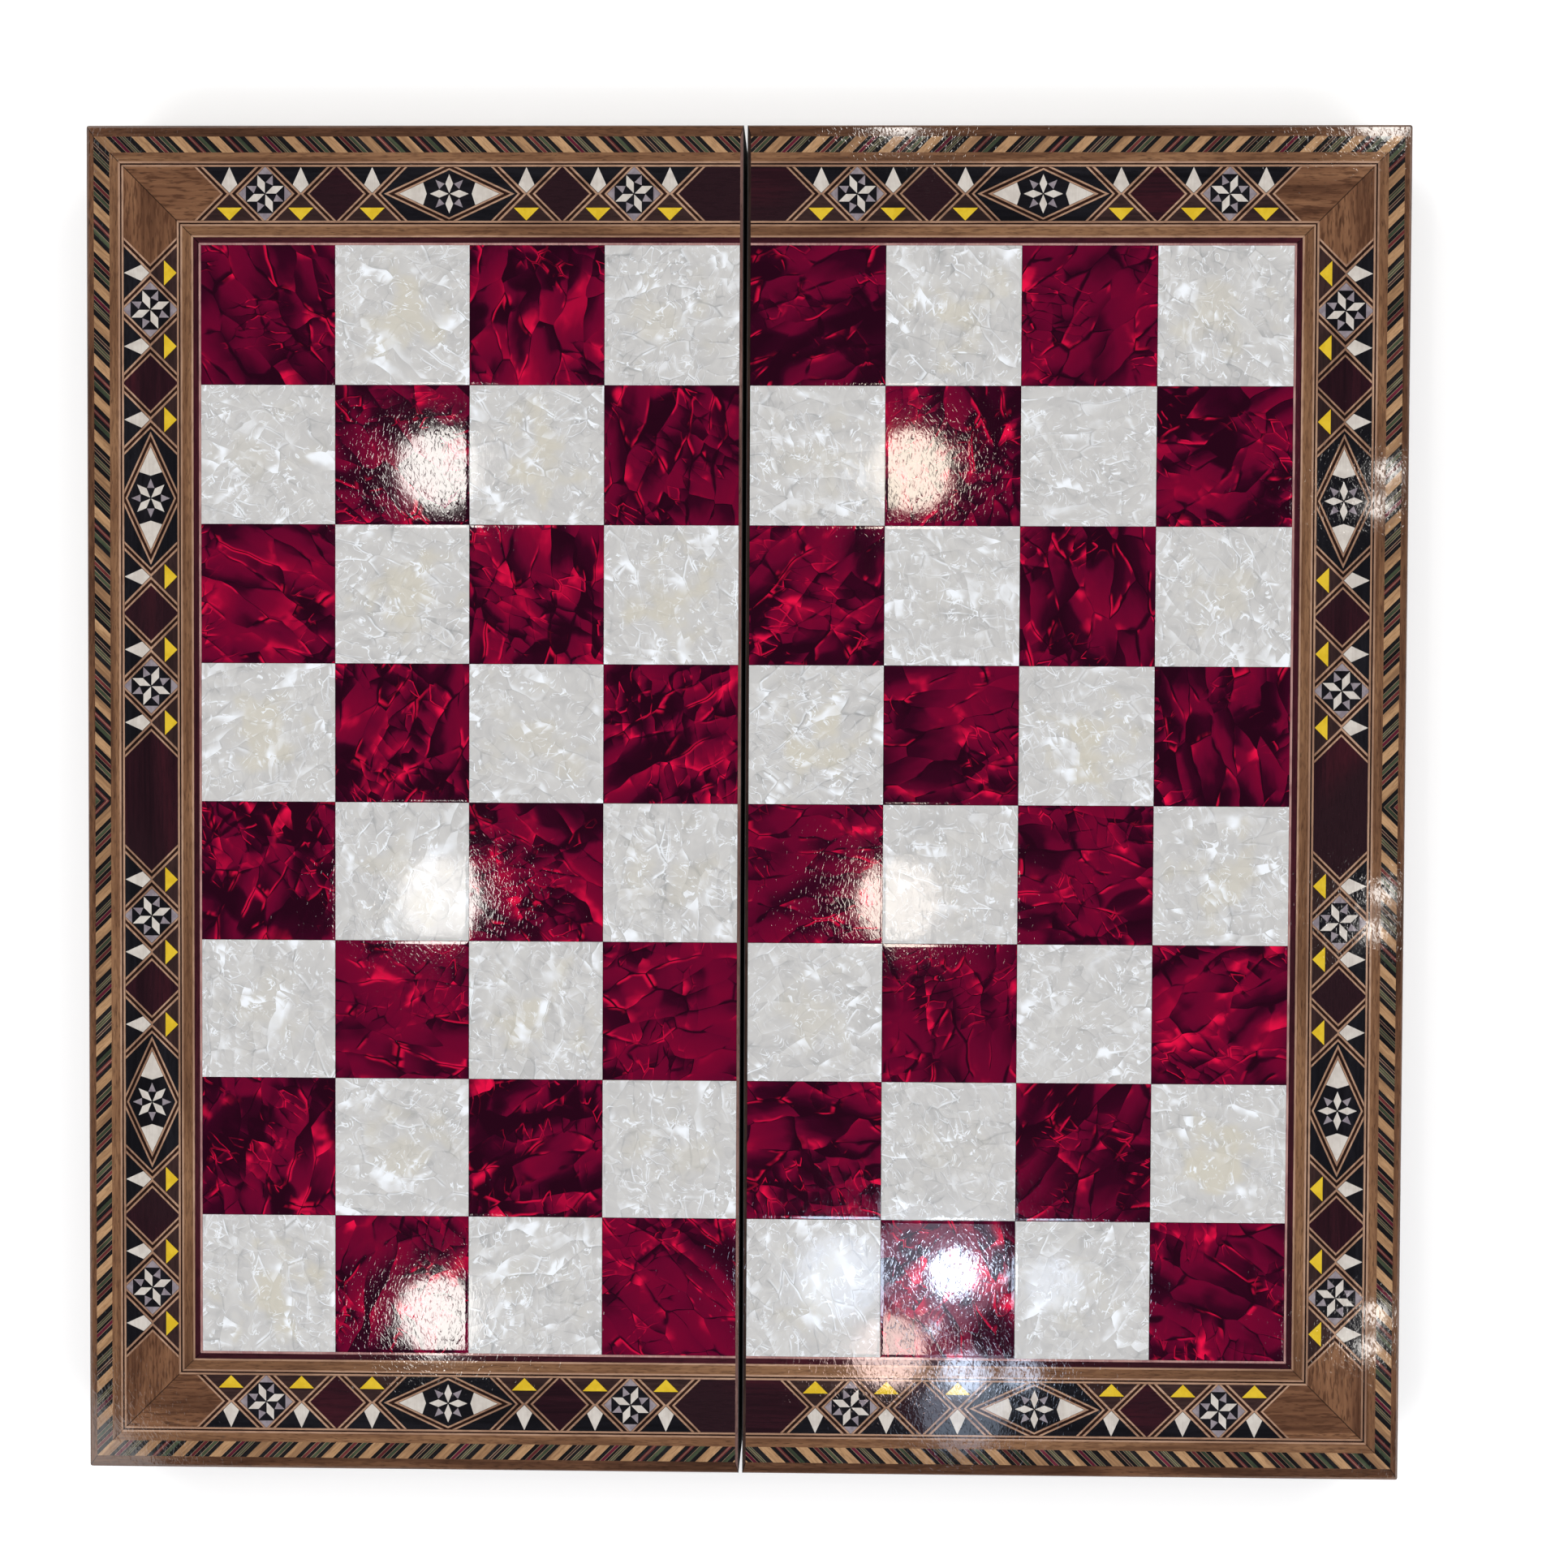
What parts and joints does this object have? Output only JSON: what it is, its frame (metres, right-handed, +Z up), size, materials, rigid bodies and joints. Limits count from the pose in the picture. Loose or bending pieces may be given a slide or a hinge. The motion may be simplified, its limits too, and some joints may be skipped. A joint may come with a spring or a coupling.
{
  "type": "folding chess and backgammon box",
  "caption": "Folding inlaid wooden games box, open flat with its chessboard up: pearl squares in a geometric marquetry border, over two backgammon trays on brass hinges.",
  "frame": {"origin": "under the middle of the seam, at the lowest point of the hinge knuckles", "axes": "+Z up through the playing face, the seam and the hinge axis along Y, the left half towards -X and the right half towards +X"},
  "size_m": [0.4944, 0.506, 0.0443],
  "materials": {
    "plywood": "matt",
    "walnut": "gloss varnish",
    "walnut_inlay": "gloss varnish",
    "pale_banding": "gloss varnish",
    "dark_banding": "gloss varnish",
    "pale_stringing": "gloss varnish",
    "dark_stringing": "gloss varnish",
    "ebony": "gloss varnish",
    "brown_ground": "gloss varnish",
    "rosewood": "gloss varnish",
    "bone": "gloss",
    "yellow": "gloss",
    "grey": "gloss",
    "maroon": "gloss",
    "pink": "gloss",
    "red_pearl": "pearl under gloss varnish",
    "white_pearl": "pearl under gloss varnish",
    "floor_veneer": "satin varnish",
    "pale_point": "satin varnish",
    "dark_point": "satin varnish",
    "magnet": "nickel plated",
    "brass": "polished"
  },
  "bodies": {
    "left_half": {"left_base_panel": "plywood", "left_outer_rail": "walnut", "left_spine_rail": "walnut", "left_head_rail": "walnut", "left_foot_rail": "walnut", "left_pale_banding": "pale_banding", "left_dark_banding": "dark_banding", "left_walnut_fillets": "walnut_inlay", "left_pale_stringing": "pale_stringing", "left_dark_stringing": "dark_stringing", "left_ebony_grounds": "ebony", "left_star_grounds": "ebony", "left_brown_grounds": "brown_ground", "left_bone_kites": "bone", "left_yellow_triangles": "yellow", "left_bone_stars": "bone", "left_grey_stars": "grey", "left_rosewood_panels": "rosewood", "left_walnut_corners": "walnut_inlay", "left_maroon_border": "maroon", "left_pink_line": "pink", "left_red_squares": "red_pearl", "left_pearl_squares": "white_pearl", "left_floor_veneer": "floor_veneer", "left_pale_points": "pale_point", "left_dark_points": "dark_point", "left_catch_magnets": "magnet", "left_hinge_leaves": "brass", "left_hinge_screws": "brass", "hinge_pins": "brass"},
    "right_half": {"right_base_panel": "plywood", "right_outer_rail": "walnut", "right_spine_rail": "walnut", "right_head_rail": "walnut", "right_foot_rail": "walnut", "right_pale_banding": "pale_banding", "right_dark_banding": "dark_banding", "right_walnut_fillets": "walnut_inlay", "right_pale_stringing": "pale_stringing", "right_dark_stringing": "dark_stringing", "right_ebony_grounds": "ebony", "right_star_grounds": "ebony", "right_brown_grounds": "brown_ground", "right_bone_kites": "bone", "right_yellow_triangles": "yellow", "right_bone_stars": "bone", "right_grey_stars": "grey", "right_rosewood_panels": "rosewood", "right_walnut_corners": "walnut_inlay", "right_maroon_border": "maroon", "right_pink_line": "pink", "right_red_squares": "red_pearl", "right_pearl_squares": "white_pearl", "right_floor_veneer": "floor_veneer", "right_pale_points": "pale_point", "right_dark_points": "dark_point", "right_catch_magnets": "magnet", "right_hinge_leaves": "brass", "right_hinge_screws": "brass"}
  },
  "joints": [
    {"name": "fold", "type": "hinge", "parent": "left_half", "child": "right_half", "pos_m": [0, 0, 0.0022], "axis": [0, 1, 0], "range_deg": [0, 180]}
  ]
}
